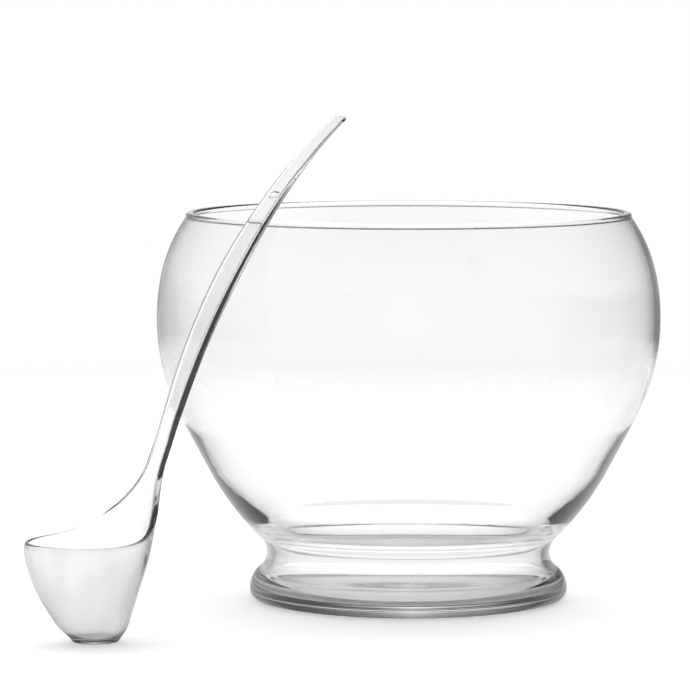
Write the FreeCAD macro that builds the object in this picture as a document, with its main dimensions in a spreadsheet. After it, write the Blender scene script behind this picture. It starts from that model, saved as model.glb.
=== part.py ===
import FreeCAD, Part

import math
import os

import Sketcher
from FreeCAD import Placement, Rotation, Vector

# A clear glass punch bowl on a hollow spreading foot, and the one-piece clear ladle that stands
# beside it and leans on its rim. Millimetres, +Z up. The origin is the centre of the ring that
# the bowl stands on.

OUTPUT_FOLDER = "parts"

# The outline of the bowl's outside and of its inside, from the base up: a rounded corner, the side
# of the foot, the hollow of the waist, a flare, a straight cone, the belly and the shoulder below
# the rim. Each is an arc that meets the next one smoothly. Radii of places are from the axis.
OUTSIDE = {
    "base_height": 0.0,
    "foot_radius": 92.1,
    "corner_arc": 6.6,
    "foot_arc": 14.7,
    "waist_radius": 82.2,
    "waist_arc": 12.0,
    "flare_arc": 163.0,
    "cone_angle": 28.0,
    "belly_radius": 145.4,
    "belly_height": 163.0,
    "belly_arc": 126.0,
    "shoulder_arc": 91.0,
    "rim_radius": 127.7,
    "rim_height": 222.6,
}
INSIDE = {
    "base_height": 5.9,
    "foot_radius": 84.6,
    "corner_arc": 5.9,
    "foot_arc": 3.7,
    "waist_radius": 76.6,
    "waist_arc": 19.0,
    "flare_arc": 166.0,
    "cone_angle": 31.7,
    "belly_radius": 142.4,
    "belly_height": 163.3,
    "belly_arc": 125.2,
    "shoulder_arc": 97.0,
    "rim_radius": 125.3,
    "rim_height": 222.6,
}

# The round bead along the rim, and the shallow push-up under the base.
FINISH = {
    "bead_place": 126.8,
    "bead_roundness": 1.55,
    "push_up_height": 1.7,
    "push_up_radius": 77.0,
}

# The ladle in its own frame: X points from the foot of the cup towards the handle.
LADLE = {
    "lip_height": 55.2,
    "lip_flat_end": 14.0,
    "lip_sweep_arc": 58.0,
    "lip_sweep_end": 20.0,
    "neck_half_width": 5.7,
    "neck_top": 100.0,
    "neck_arc": 39.0,
    "neck_angle": 46.0,
    "shoulder_height": 57.8,
    "trim_reach": 60.0,
    "trim_top": 130.0,
    "handle_corner": 1.1,
}

# Where the ladle's foot stands, and how far its handle is turned towards the bowl.
LADLE_FOOT = Vector(-172.2, -172.7, 0.0)
LADLE_TURN = 39.3

# The cup is round at every level, and its wall rises behind into the back of the handle.
# Level, outer radius, how far back the outside is, wall thickness at the back and at the front.
CUP_LEVELS = [
    (0.0, 12.4, 12.4, 3.0, 3.0),
    (3.2, 14.9, 14.8, 2.8, 2.8),
    (7.0, 18.1, 16.9, 2.4, 2.4),
    (13.0, 21.4, 18.7, 2.2, 2.3),
    (20.0, 24.6, 20.6, 2.1, 2.2),
    (28.0, 28.0, 22.9, 2.0, 2.1),
    (36.0, 30.9, 25.3, 2.0, 2.1),
    (44.0, 33.2, 27.8, 2.0, 2.0),
    (52.0, 34.7, 29.9, 2.2, 1.9),
    (60.0, 34.0, 31.9, 2.9, 1.8),
    (68.0, 31.9, 34.3, 3.9, 1.8),
    (76.0, 29.8, 37.2, 4.3, 1.8),
    (84.0, 27.7, 40.3, 4.4, 1.8),
    (92.0, 25.7, 43.5, 4.4, 1.8),
    (100.0, 23.9, 46.7, 4.3, 1.8),
    (108.0, 22.4, 49.8, 3.9, 1.8),
    (115.0, 21.0, 52.5, 3.4, 1.8),
]
FIRST_HOLLOW_LEVEL = 1

# The front of the handle is straight at first, then bends away from the cup on one long arc.
# Root: rise from the start of the arc, how far it is sunk behind the front, width and thickness.
# Bend: angle turned on the arc, width and thickness.
HANDLE_START = Vector(53.6, 0.0, 129.0)
HANDLE_LEAN = 21.5
HANDLE_ARC = 345.0
HANDLE_ROOT = [
    (-45.0, 1.8, 8.0, 2.0),
    (-32.0, 0.2, 11.2, 4.0),
    (-20.0, 0.0, 12.2, 4.5),
    (-6.0, 0.0, 12.3, 4.7),
]
HANDLE_BEND = [
    (4.0, 15.0, 4.9),
    (9.0, 16.7, 5.1),
    (14.0, 17.9, 4.9),
    (19.0, 15.2, 4.2),
    (24.0, 13.6, 3.2),
    (28.0, 13.1, 2.1),
    (32.5, 11.4, 1.8),
]


def numbered_sizes():
    """Name the sizes of the cup's and the handle's sections, one cell for each."""
    sizes = {}
    for number, (level, radius, back, back_wall, front_wall) in enumerate(CUP_LEVELS):
        sizes["cup_level_%d" % number] = level
        sizes["cup_radius_%d" % number] = radius
        sizes["cup_back_%d" % number] = back
        sizes["hollow_radius_%d" % number] = radius - (back_wall + front_wall) / 2
        sizes["hollow_back_%d" % number] = back - back_wall
    for number, (height, front, width, depth) in enumerate(handle_sections()):
        sizes["handle_level_%d" % number] = height
        sizes["handle_front_%d" % number] = front
        sizes["handle_width_%d" % number] = width
        sizes["handle_depth_%d" % number] = depth
    return sizes


def handle_sections():
    """Give each level section of the handle: its height, front face, width and level depth."""
    sections = []
    lean = math.radians(HANDLE_LEAN)
    for rise, sunk, width, thickness in HANDLE_ROOT:
        front = HANDLE_START.x + rise * math.tan(lean) + sunk
        sections.append((HANDLE_START.z + rise, front, width, thickness / math.cos(lean)))
    for turned, width, thickness in HANDLE_BEND:
        angle = lean + math.radians(turned)
        front = HANDLE_START.x + HANDLE_ARC * (math.cos(lean) - math.cos(angle))
        height = HANDLE_START.z + HANDLE_ARC * (math.sin(angle) - math.sin(lean))
        sections.append((height, front, width, thickness / math.cos(angle)))
    return sections


def with_prefix(prefix, table):
    """Put a prefix before each name of a table."""
    return {prefix + name: size for name, size in table.items()}


def add_sheet(document):
    """Make the sheet of sizes, one named cell for each."""
    sheet = document.addObject("Spreadsheet::Sheet", "sizes")
    tables = [
        with_prefix("outside_", OUTSIDE),
        with_prefix("inside_", INSIDE),
        FINISH,
        LADLE,
        numbered_sizes(),
    ]
    row = 1
    for table in tables:
        for name, size in table.items():
            sheet.set("A%d" % row, name)
            sheet.set("B%d" % row, "%.4f" % size)
            sheet.setAlias("B%d" % row, name)
            row += 1
    document.recompute()
    return sheet


def add_body(document, label):
    """Make an empty body."""
    body = document.addObject("PartDesign::Body", label)
    body.Label = label
    return body


def add_sketch(body, name, plane):
    """Make a sketch on one of the body's own origin planes."""
    sketch = body.newObject("Sketcher::SketchObject", name)
    origin_plane = [item for item in body.Origin.OriginFeatures if item.Role == plane][0]
    sketch.AttachmentSupport = [(origin_plane, "")]
    sketch.MapMode = "FlatFace"
    return sketch


def bind(sketch, constraint, name, expression):
    """Add a constraint under a name and bind it to the sheet."""
    number = sketch.addConstraint(constraint)
    sketch.renameConstraint(number, name)
    sketch.setExpression("Constraints." + name, expression)


def direction(angle):
    """Give the unit step in a sketch at an angle in radians."""
    return Vector(math.cos(angle), math.sin(angle), 0)


def heading(start, end):
    """Give the angle in radians of the way from one point of a sketch to another."""
    return math.atan2(end.y - start.y, end.x - start.x)


def wall_centres(size):
    """Find the centres of the six arcs of a bowl outline, so that each arc meets the next."""
    level = size["base_height"] + size["corner_arc"]
    corner = Vector(size["foot_radius"] - size["corner_arc"], level, 0)
    foot = Vector(size["foot_radius"] - size["foot_arc"], level, 0)
    waist = Vector(size["waist_radius"] + size["waist_arc"], level, 0)
    reach = size["foot_arc"] + size["waist_arc"]
    waist.y += math.sqrt(reach**2 - (waist.x - foot.x) ** 2)

    belly = Vector(size["belly_radius"] - size["belly_arc"], size["belly_height"], 0)
    cone = math.radians(size["cone_angle"])
    beside_flare = belly + direction(-cone) * (size["belly_arc"] - size["flare_arc"])
    gap = waist - beside_flare
    reach = size["flare_arc"] + size["waist_arc"]
    along_cone = direction(math.pi / 2 - cone)
    rise = gap.dot(along_cone) + math.sqrt(reach**2 - gap.dot(direction(-cone)) ** 2)
    flare = beside_flare + along_cone * rise

    rim = Vector(size["rim_radius"], size["rim_height"], 0)
    span = (rim - belly).Length
    reach = size["belly_arc"] - size["shoulder_arc"]
    turn = math.acos((span**2 + reach**2 - size["shoulder_arc"] ** 2) / (2 * span * reach))
    shoulder = belly + direction(heading(belly, rim) - turn) * reach
    return corner, foot, waist, flare, belly, shoulder


def add_line(sketch, start, end):
    """Draw a line between two points and give its number."""
    return sketch.addGeometry(Part.LineSegment(start, end), False)


def add_arc(sketch, centre, radius, first, last):
    """Draw an arc anticlockwise between two angles in radians and give its number."""
    circle = Part.Circle(centre, Vector(0, 0, 1), radius)
    return sketch.addGeometry(Part.ArcOfCircle(circle, first, last), False)


def join(sketch, kind, first, first_end, second, second_end):
    """Join the end of one line or arc to the end of another, smoothly if the kind is Tangent."""
    sketch.addConstraint(Sketcher.Constraint(kind, first, first_end, second, second_end))


def draw_wall(sketch, size):
    """Draw the bowl outline: base, corner, foot, waist, flare, cone, belly, shoulder, top, axis."""
    corner, foot, waist, flare, belly, shoulder = wall_centres(size)
    cone = math.radians(size["cone_angle"])
    foot_base = Vector(corner.x, size["base_height"], 0)
    rim = Vector(size["rim_radius"], size["rim_height"], 0)
    axis_foot = Vector(0, size["base_height"], 0)
    axis_top = Vector(0, size["rim_height"], 0)
    to_waist = heading(foot, waist)
    to_flare = heading(waist, flare)
    to_shoulder = heading(belly, shoulder)
    cone_low = flare + direction(-cone) * size["flare_arc"]
    cone_high = belly + direction(-cone) * size["belly_arc"]
    add_line(sketch, axis_foot, foot_base)
    add_arc(sketch, corner, size["corner_arc"], -math.pi / 2, 0)
    add_arc(sketch, foot, size["foot_arc"], 0, to_waist)
    add_arc(sketch, waist, size["waist_arc"], to_flare, to_waist + math.pi)
    add_arc(sketch, flare, size["flare_arc"], to_flare - math.pi, -cone)
    add_line(sketch, cone_low, cone_high)
    add_arc(sketch, belly, size["belly_arc"], -cone, to_shoulder)
    add_arc(sketch, shoulder, size["shoulder_arc"], to_shoulder, heading(shoulder, rim))
    add_line(sketch, rim, axis_top)
    add_line(sketch, axis_top, axis_foot)


BASE, CORNER, FOOT, WAIST, FLARE, CONE, BELLY, SHOULDER, TOP, AXIS = range(10)
START, END, CENTRE = 1, 2, 3
ORIGIN, UPRIGHT = -1, -2


def join_wall(sketch):
    """Close the outline, with each stretch of wall smooth into the next."""
    join(sketch, "Tangent", BASE, END, CORNER, START)
    join(sketch, "Tangent", CORNER, END, FOOT, START)
    join(sketch, "Tangent", FOOT, END, WAIST, END)
    join(sketch, "Tangent", WAIST, START, FLARE, START)
    join(sketch, "Tangent", FLARE, END, CONE, START)
    join(sketch, "Tangent", CONE, END, BELLY, START)
    join(sketch, "Tangent", BELLY, END, SHOULDER, START)
    join(sketch, "Coincident", SHOULDER, END, TOP, START)
    join(sketch, "Coincident", TOP, END, AXIS, START)
    join(sketch, "Coincident", AXIS, END, BASE, START)
    sketch.addConstraint(Sketcher.Constraint("Horizontal", BASE))
    sketch.addConstraint(Sketcher.Constraint("Horizontal", TOP))
    sketch.addConstraint(Sketcher.Constraint("Vertical", AXIS))
    sketch.addConstraint(Sketcher.Constraint("Horizontal", FOOT, CENTRE, FOOT, START))


def bind_across(sketch, geometry, end, name, value, expression):
    """Bind how far a point is from the axis of the sketch."""
    constraint = Sketcher.Constraint("DistanceX", ORIGIN, START, geometry, end, value)
    bind(sketch, constraint, name, expression)


def bind_up(sketch, geometry, end, name, value, expression):
    """Bind how high a point is in the sketch."""
    constraint = Sketcher.Constraint("DistanceY", ORIGIN, START, geometry, end, value)
    bind(sketch, constraint, name, expression)


def add_wall_outline(body, name, prefix, size):
    """Draw half of the outside or inside of the bowl as a closed sketch bound to its sizes."""
    sketch = add_sketch(body, name, "XZ_Plane")
    draw_wall(sketch, size)
    join_wall(sketch)
    sheet = "sizes." + prefix
    arcs = {"corner": CORNER, "foot": FOOT, "waist": WAIST, "flare": FLARE}
    arcs.update({"belly": BELLY, "shoulder": SHOULDER})
    for arc, geometry in arcs.items():
        radius = Sketcher.Constraint("Radius", geometry, size[arc + "_arc"])
        bind(sketch, radius, arc + "_arc", sheet + arc + "_arc")
    if size["base_height"] == 0.0:
        join(sketch, "Coincident", BASE, START, ORIGIN, START)
    else:
        sketch.addConstraint(Sketcher.Constraint("PointOnObject", BASE, START, UPRIGHT))
        bind_up(sketch, BASE, START, "base_height", size["base_height"], sheet + "base_height")
    bind_across(sketch, FOOT, START, "foot_radius", size["foot_radius"], sheet + "foot_radius")
    bind_across(
        sketch,
        WAIST,
        CENTRE,
        "waist_centre",
        size["waist_radius"] + size["waist_arc"],
        "%swaist_radius + %swaist_arc" % (sheet, sheet),
    )
    bind_across(
        sketch,
        BELLY,
        CENTRE,
        "belly_centre",
        size["belly_radius"] - size["belly_arc"],
        "%sbelly_radius - %sbelly_arc" % (sheet, sheet),
    )
    bind_up(sketch, BELLY, CENTRE, "belly_height", size["belly_height"], sheet + "belly_height")
    slope = Sketcher.Constraint("Angle", CONE, math.radians(90 - size["cone_angle"]))
    bind(sketch, slope, "cone_slope", "(90 - %scone_angle) * 1deg" % sheet)
    bind_across(sketch, TOP, START, "rim_radius", size["rim_radius"], sheet + "rim_radius")
    bind_up(sketch, TOP, START, "rim_height", size["rim_height"], sheet + "rim_height")
    return sketch


def set_profile(feature, sketch):
    """Give a feature its sketch and turn it about the sketch's upright axis."""
    feature.Profile = sketch
    feature.ReferenceAxis = (sketch, ["V_Axis"])
    feature.Angle = 360.0
    sketch.Visibility = False


def add_push_up(body):
    """Draw half of the shallow dome under the base, inside the ring that the bowl stands on."""
    sketch = add_sketch(body, "push_up_outline", "XZ_Plane")
    radius = FINISH["push_up_radius"]
    height = FINISH["push_up_height"]
    dome = (radius**2 + height**2) / (2 * height)
    centre = Vector(0, height - dome, 0)
    edge = Vector(radius, 0, 0)
    top = Vector(0, height, 0)
    flat = add_line(sketch, Vector(0, 0, 0), edge)
    arc = add_arc(sketch, centre, dome, heading(centre, edge), math.pi / 2)
    axis = add_line(sketch, top, Vector(0, 0, 0))
    join(sketch, "Coincident", flat, START, ORIGIN, START)
    join(sketch, "Coincident", flat, END, arc, START)
    join(sketch, "Coincident", arc, END, axis, START)
    join(sketch, "Coincident", axis, END, flat, START)
    sketch.addConstraint(Sketcher.Constraint("Horizontal", flat))
    sketch.addConstraint(Sketcher.Constraint("PointOnObject", arc, CENTRE, UPRIGHT))
    sketch.addConstraint(Sketcher.Constraint("Vertical", axis))
    bind_across(sketch, flat, END, "push_up_radius", radius, "sizes.push_up_radius")
    bind_up(sketch, axis, START, "push_up_height", height, "sizes.push_up_height")
    return sketch


def add_bead(body):
    """Draw the round bead of glass that finishes the rim, on the end of the wall."""
    sketch = add_sketch(body, "bead_outline", "XZ_Plane")
    place = FINISH["bead_place"]
    level = OUTSIDE["rim_height"]
    roundness = FINISH["bead_roundness"]
    circle = Part.Circle(Vector(place, level, 0), Vector(0, 0, 1), roundness)
    bead = sketch.addGeometry(circle, False)
    radius = Sketcher.Constraint("Radius", bead, roundness)
    bind(sketch, radius, "bead_roundness", "sizes.bead_roundness")
    bind_across(sketch, bead, CENTRE, "bead_place", place, "sizes.bead_place")
    bind_up(sketch, bead, CENTRE, "bead_level", level, "sizes.outside_rim_height")
    return sketch


def build_bowl(document):
    """Build the bowl: the turned outside, the hollow cut from it, the push-up and the bead."""
    body = add_body(document, "bowl")
    outside = body.newObject("PartDesign::Revolution", "outside")
    set_profile(outside, add_wall_outline(body, "outside_outline", "outside_", OUTSIDE))
    hollow = body.newObject("PartDesign::Groove", "hollow")
    set_profile(hollow, add_wall_outline(body, "inside_outline", "inside_", INSIDE))
    push_up = body.newObject("PartDesign::Groove", "push_up")
    set_profile(push_up, add_push_up(body))
    bead = body.newObject("PartDesign::Revolution", "bead")
    set_profile(bead, add_bead(body))
    document.recompute()
    return body


def add_level_sketch(body, name, level_name):
    """Make a level sketch at a height named in the sheet."""
    sketch = add_sketch(body, name, "XY_Plane")
    sketch.setExpression("AttachmentOffset.Base.z", "sizes." + level_name)
    return sketch


def add_cup_circle(body, kind, number):
    """Draw the round section of the cup or of its hollow at one level."""
    sketch = add_level_sketch(body, "%s_section_%d" % (kind, number), "cup_level_%d" % number)
    radius_name = "sizes.%s_radius_%d" % (kind, number)
    back_name = "sizes.%s_back_%d" % (kind, number)
    sizes = numbered_sizes()
    radius = sizes["%s_radius_%d" % (kind, number)]
    centre = sizes["%s_back_%d" % (kind, number)] - radius
    circle = sketch.addGeometry(Part.Circle(Vector(centre, 0, 0), Vector(0, 0, 1), radius), False)
    bind(sketch, Sketcher.Constraint("Radius", circle, radius), "radius", radius_name)
    sketch.addConstraint(Sketcher.Constraint("PointOnObject", circle, CENTRE, -1))
    bind_across(sketch, circle, CENTRE, "centre", centre, back_name + " - " + radius_name)
    return sketch


def add_handle_section(body, number):
    """Draw the section of the handle at one level: a rectangle with rounded corners."""
    sketch = add_level_sketch(body, "handle_section_%d" % number, "handle_level_%d" % number)
    sizes = numbered_sizes()
    front = sizes["handle_front_%d" % number]
    back = front + sizes["handle_depth_%d" % number]
    side = sizes["handle_width_%d" % number] / 2
    corner = LADLE["handle_corner"]
    turns = [(front, -side, 1, 1), (back, -side, -1, 1), (back, side, -1, -1), (front, side, 1, -1)]
    centres = [Vector(x + corner * a, y + corner * b, 0) for x, y, a, b in turns]
    quarter = math.pi / 2
    for number_of_turn in range(4):
        first = math.pi + quarter * number_of_turn
        centre = centres[number_of_turn]
        following = centres[(number_of_turn + 1) % 4]
        add_arc(sketch, centre, corner, first, first + quarter)
        outward = direction(first + quarter) * corner
        add_line(sketch, centre + outward, following + outward)
    for corner_number in (0, 2, 4, 6):
        join(sketch, "Tangent", corner_number, END, corner_number + 1, START)
        join(sketch, "Tangent", corner_number + 1, END, (corner_number + 2) % 8, START)
    for corner_number in (2, 4, 6):
        sketch.addConstraint(Sketcher.Constraint("Equal", 0, corner_number))
    sketch.addConstraint(Sketcher.Constraint("Horizontal", 1))
    sketch.addConstraint(Sketcher.Constraint("Vertical", 3))
    sketch.addConstraint(Sketcher.Constraint("Horizontal", 5))
    sketch.addConstraint(Sketcher.Constraint("Vertical", 7))
    bind(sketch, Sketcher.Constraint("Radius", 0, corner), "corner", "sizes.handle_corner")
    names = ["sizes.handle_%s_%d" % (name, number) for name in ("front", "depth", "width")]
    bind_across(sketch, 7, START, "front", front, names[0])
    bind_across(sketch, 3, START, "back", back, names[0] + " + " + names[1])
    bind_up(sketch, 5, START, "left", side, names[2] + " / 2")
    bind_up(sketch, 1, START, "right", -side, "0 - " + names[2] + " / 2")
    return sketch


def add_loft(body, kind, name, sections):
    """Add or cut a smooth loft through level sections."""
    loft = body.newObject("PartDesign::" + kind, name)
    loft.Profile = sections[0]
    loft.Sections = [(section, [""]) for section in sections[1:]]
    loft.Ruled = False
    for section in sections:
        section.Visibility = False
    return loft


def add_lip_outline(body):
    """Draw what is cut off above the lip, seen from the side: level, then sweeping up behind."""
    sketch = add_sketch(body, "lip_outline", "XZ_Plane")
    height = LADLE["lip_height"]
    arc_radius = LADLE["lip_sweep_arc"]
    reach = LADLE["trim_reach"]
    top = LADLE["trim_top"]
    centre = Vector(-LADLE["lip_flat_end"], height + arc_radius, 0)
    end_x = LADLE["lip_sweep_end"]
    end_y = centre.y - math.sqrt(arc_radius**2 - (end_x - centre.x) ** 2)
    end = Vector(end_x, end_y, 0)
    level = add_line(sketch, Vector(-reach, height, 0), Vector(centre.x, height, 0))
    sweep = add_arc(sketch, centre, arc_radius, -math.pi / 2, heading(centre, end))
    behind = add_line(sketch, end, Vector(end_x, top, 0))
    above = add_line(sketch, Vector(end_x, top, 0), Vector(-reach, top, 0))
    front = add_line(sketch, Vector(-reach, top, 0), Vector(-reach, height, 0))
    join(sketch, "Tangent", level, END, sweep, START)
    join(sketch, "Coincident", sweep, END, behind, START)
    join(sketch, "Coincident", behind, END, above, START)
    join(sketch, "Coincident", above, END, front, START)
    join(sketch, "Coincident", front, END, level, START)
    for line in (level, above):
        sketch.addConstraint(Sketcher.Constraint("Horizontal", line))
    for line in (behind, front):
        sketch.addConstraint(Sketcher.Constraint("Vertical", line))
    arc_constraint = Sketcher.Constraint("Radius", sweep, arc_radius)
    bind(sketch, arc_constraint, "sweep_arc", "sizes.lip_sweep_arc")
    bind_up(sketch, level, START, "lip_height", height, "sizes.lip_height")
    bind_across(sketch, level, END, "flat_end", centre.x, "0 - sizes.lip_flat_end")
    bind_across(sketch, sweep, END, "sweep_end", end_x, "sizes.lip_sweep_end")
    bind_across(sketch, level, START, "reach", -reach, "0 - sizes.trim_reach")
    bind_up(sketch, above, START, "top", top, "sizes.trim_top")
    return sketch


def add_neck_outline(body):
    """Draw what is cut off beside the neck, seen from the front, where the cup narrows."""
    sketch = add_sketch(body, "neck_outline", "YZ_Plane")
    side = LADLE["neck_half_width"]
    arc_radius = LADLE["neck_arc"]
    neck_top = LADLE["neck_top"]
    reach = LADLE["trim_reach"]
    top = LADLE["trim_top"]
    low = LADLE["shoulder_height"]
    turned = math.radians(LADLE["neck_angle"])
    centre = Vector(side + arc_radius, neck_top, 0)
    sweep_end = centre + direction(math.pi + turned) * arc_radius
    slope_end = Vector(sweep_end.x + (sweep_end.y - low) * math.tan(turned), low, 0)
    upright = add_line(sketch, Vector(side, top, 0), Vector(side, neck_top, 0))
    sweep = add_arc(sketch, centre, arc_radius, math.pi, math.pi + turned)
    slope = add_line(sketch, sweep_end, slope_end)
    level = add_line(sketch, slope_end, Vector(reach, low, 0))
    outer = add_line(sketch, Vector(reach, low, 0), Vector(reach, top, 0))
    above = add_line(sketch, Vector(reach, top, 0), Vector(side, top, 0))
    join(sketch, "Tangent", upright, END, sweep, START)
    join(sketch, "Tangent", sweep, END, slope, START)
    join(sketch, "Coincident", slope, END, level, START)
    join(sketch, "Coincident", level, END, outer, START)
    join(sketch, "Coincident", outer, END, above, START)
    join(sketch, "Coincident", above, END, upright, START)
    for line in (upright, outer):
        sketch.addConstraint(Sketcher.Constraint("Vertical", line))
    for line in (level, above):
        sketch.addConstraint(Sketcher.Constraint("Horizontal", line))
    arc_constraint = Sketcher.Constraint("Radius", sweep, arc_radius)
    bind(sketch, arc_constraint, "neck_arc", "sizes.neck_arc")
    angle = Sketcher.Constraint("Angle", slope, turned - math.pi / 2)
    bind(sketch, angle, "neck_slope", "(sizes.neck_angle - 90) * 1deg")
    bind_across(sketch, upright, END, "half_width", side, "sizes.neck_half_width")
    bind_up(sketch, upright, END, "neck_top", neck_top, "sizes.neck_top")
    bind_up(sketch, level, START, "shoulder_height", low, "sizes.shoulder_height")
    bind_across(sketch, level, END, "reach", reach, "sizes.trim_reach")
    bind_up(sketch, above, START, "top", top, "sizes.trim_top")
    return sketch


def add_trim(body, name, sketch):
    """Cut a sketch through the whole body, both ways."""
    trim = body.newObject("PartDesign::Pocket", name)
    trim.Profile = sketch
    trim.Type = "ThroughAll"
    trim.SideType = "Symmetric"
    sketch.Visibility = False
    return trim


def build_ladle(document):
    """Build the ladle: cup, hollow, lip, neck and handle, then stand it at the bowl's side."""
    body = add_body(document, "ladle")
    levels = range(len(CUP_LEVELS))
    cup_sections = [add_cup_circle(body, "cup", number) for number in levels]
    add_loft(body, "AdditiveLoft", "cup", cup_sections)
    hollow_levels = levels[FIRST_HOLLOW_LEVEL:]
    hollow_sections = [add_cup_circle(body, "hollow", number) for number in hollow_levels]
    add_loft(body, "SubtractiveLoft", "cup_hollow", hollow_sections)
    add_trim(body, "lip", add_lip_outline(body))
    neck = add_trim(body, "neck", add_neck_outline(body))
    other_side = body.newObject("PartDesign::Mirrored", "neck_other_side")
    other_side.Originals = [neck]
    middle = [item for item in body.Origin.OriginFeatures if item.Role == "XZ_Plane"][0]
    other_side.MirrorPlane = (middle, [""])
    body.Tip = other_side
    handle_numbers = range(len(handle_sections()))
    sections = [add_handle_section(body, number) for number in handle_numbers]
    add_loft(body, "AdditiveLoft", "handle", sections)
    body.Placement = Placement(LADLE_FOOT, Rotation(Vector(0, 0, 1), LADLE_TURN))
    document.recompute()
    return body


def check(document):
    """Stop if a feature failed or a shape is not sound."""
    for item in document.Objects:
        if "Invalid" in item.State or "Error" in item.State:
            raise RuntimeError("%s failed: %s" % (item.Name, item.State))
    for body in document.findObjects("PartDesign::Body"):
        if body.Shape.isNull() or not body.Shape.isValid() or len(body.Shape.Solids) != 1:
            raise RuntimeError("%s is not one sound solid" % body.Label)
        print("%s: %.1f cubic centimetres" % (body.Label, body.Shape.Volume / 1000.0))


def main():
    """Build both pieces and save each as its own file."""
    document = FreeCAD.newDocument("punch_bowl")
    add_sheet(document)
    build_bowl(document)
    build_ladle(document)
    document.recompute()
    check(document)
    os.makedirs(OUTPUT_FOLDER, exist_ok=True)
    for body in document.findObjects("PartDesign::Body"):
        body.Shape.exportStep("%s/%s.step" % (OUTPUT_FOLDER, body.Label))


main()
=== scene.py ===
"""A clear glass punch bowl on a hollow foot, with the clear ladle that leans on its rim."""

import math

import bmesh
import bpy
import numpy as np
from bpy.props import FloatProperty, FloatVectorProperty, IntProperty, PointerProperty
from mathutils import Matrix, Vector


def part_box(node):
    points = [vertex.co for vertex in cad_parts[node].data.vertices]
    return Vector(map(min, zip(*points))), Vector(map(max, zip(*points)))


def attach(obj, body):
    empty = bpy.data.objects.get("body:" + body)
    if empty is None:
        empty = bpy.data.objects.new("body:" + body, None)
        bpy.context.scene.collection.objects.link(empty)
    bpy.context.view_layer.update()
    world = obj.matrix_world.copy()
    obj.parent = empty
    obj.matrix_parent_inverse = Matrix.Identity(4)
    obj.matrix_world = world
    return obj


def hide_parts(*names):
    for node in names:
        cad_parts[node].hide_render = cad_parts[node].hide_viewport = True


bl_info = {
    "name": "Punch Bowl and Ladle",
    "version": (1, 0, 0),
    "blender": (4, 5, 0),
    "location": "View3D > Sidebar > Punch Bowl",
    "description": "Makes a clear glass punch bowl, its ladle and a pale studio round them",
    "category": "Object",
}

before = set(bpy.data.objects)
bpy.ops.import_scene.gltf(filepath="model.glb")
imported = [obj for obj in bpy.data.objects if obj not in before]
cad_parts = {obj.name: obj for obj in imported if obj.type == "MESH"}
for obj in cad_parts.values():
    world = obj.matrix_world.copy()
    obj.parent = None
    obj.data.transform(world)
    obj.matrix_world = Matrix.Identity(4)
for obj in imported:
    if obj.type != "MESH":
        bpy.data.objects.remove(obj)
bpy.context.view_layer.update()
BOWL_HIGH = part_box("bowl")[1]
BEAD_MIDDLE = BOWL_HIGH.z - 0.00155  # the rim's bead is 3.1 mm high in the frame


def length(name, description, default):
    """Make a property that holds a length in metres."""
    return FloatProperty(
        name=name, description=description, default=default, unit="LENGTH", precision=5
    )


def angle(name, description, degrees):
    """Make a property that holds an angle."""
    return FloatProperty(
        name=name, description=description, default=math.radians(degrees), subtype="ANGLE"
    )


def share(name, description, default):
    """Make a property that holds a plain number, from 0 up."""
    return FloatProperty(name=name, description=description, default=default, min=0.0)


def tint(name, description, default):
    """Make a property that holds a colour."""
    return FloatVectorProperty(
        name=name, description=description, default=default, subtype="COLOR"
    )


# ---------------------------------------------------------------- sizes and finishes


class OutsideSizes(bpy.types.PropertyGroup):
    """The outside of the bowl, from the table up: arcs and one straight stretch, all tangent."""

    base_height: length("Base height", "Height of the underside", 0.0)
    foot_radius: length("Foot radius", "Widest radius of the foot", 0.0921)
    corner_arc: length("Corner arc", "Arc from the base to the side of the foot", 0.0066)
    foot_arc: length("Foot arc", "Arc of the side of the foot", 0.0147)
    waist_radius: length("Waist radius", "Narrowest radius", 0.0822)
    waist_arc: length("Waist arc", "Hollow arc of the waist", 0.012)
    flare_arc: length("Flare arc", "Long arc above the waist", 0.163)
    cone_angle: angle("Cone angle", "Lean of the straight stretch", 28.0)
    belly_radius: length("Belly radius", "Widest radius", BOWL_HIGH.x)
    belly_height: length("Belly height", "Height of the widest place", 0.163)
    belly_arc: length("Belly arc", "Arc of the belly", 0.126)
    shoulder_arc: length("Shoulder arc", "Arc below the rim", 0.091)
    rim_radius: length("Rim radius", "Radius at the top of the wall", 0.1277)
    rim_height: length("Rim height", "Height of the top of the wall", BEAD_MIDDLE)


class InsideSizes(bpy.types.PropertyGroup):
    """The inside of the bowl, which follows the outside down into the hollow foot."""

    base_height: length("Floor height", "Height of the floor inside", 0.0059)
    foot_radius: length("Foot radius", "Widest radius in the foot", 0.0846)
    corner_arc: length("Corner arc", "Arc from the floor to the side", 0.0059)
    foot_arc: length("Foot arc", "Arc of the side inside the foot", 0.0037)
    waist_radius: length("Waist radius", "Narrowest radius", 0.0766)
    waist_arc: length("Waist arc", "Arc of the waist", 0.019)
    flare_arc: length("Flare arc", "Long arc above the waist", 0.13)
    cone_angle: angle("Cone angle", "Lean of the straight stretch", 30.4)
    belly_radius: length("Belly radius", "Widest radius", 0.1424)
    belly_height: length("Belly height", "Height of the widest place", 0.1633)
    belly_arc: length("Belly arc", "Arc of the belly", 0.1252)
    shoulder_arc: length("Shoulder arc", "Arc below the rim", 0.097)
    rim_radius: length("Rim radius", "Radius at the top of the wall", 0.1253)
    rim_height: length("Rim height", "Height of the top of the wall", BEAD_MIDDLE)


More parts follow.
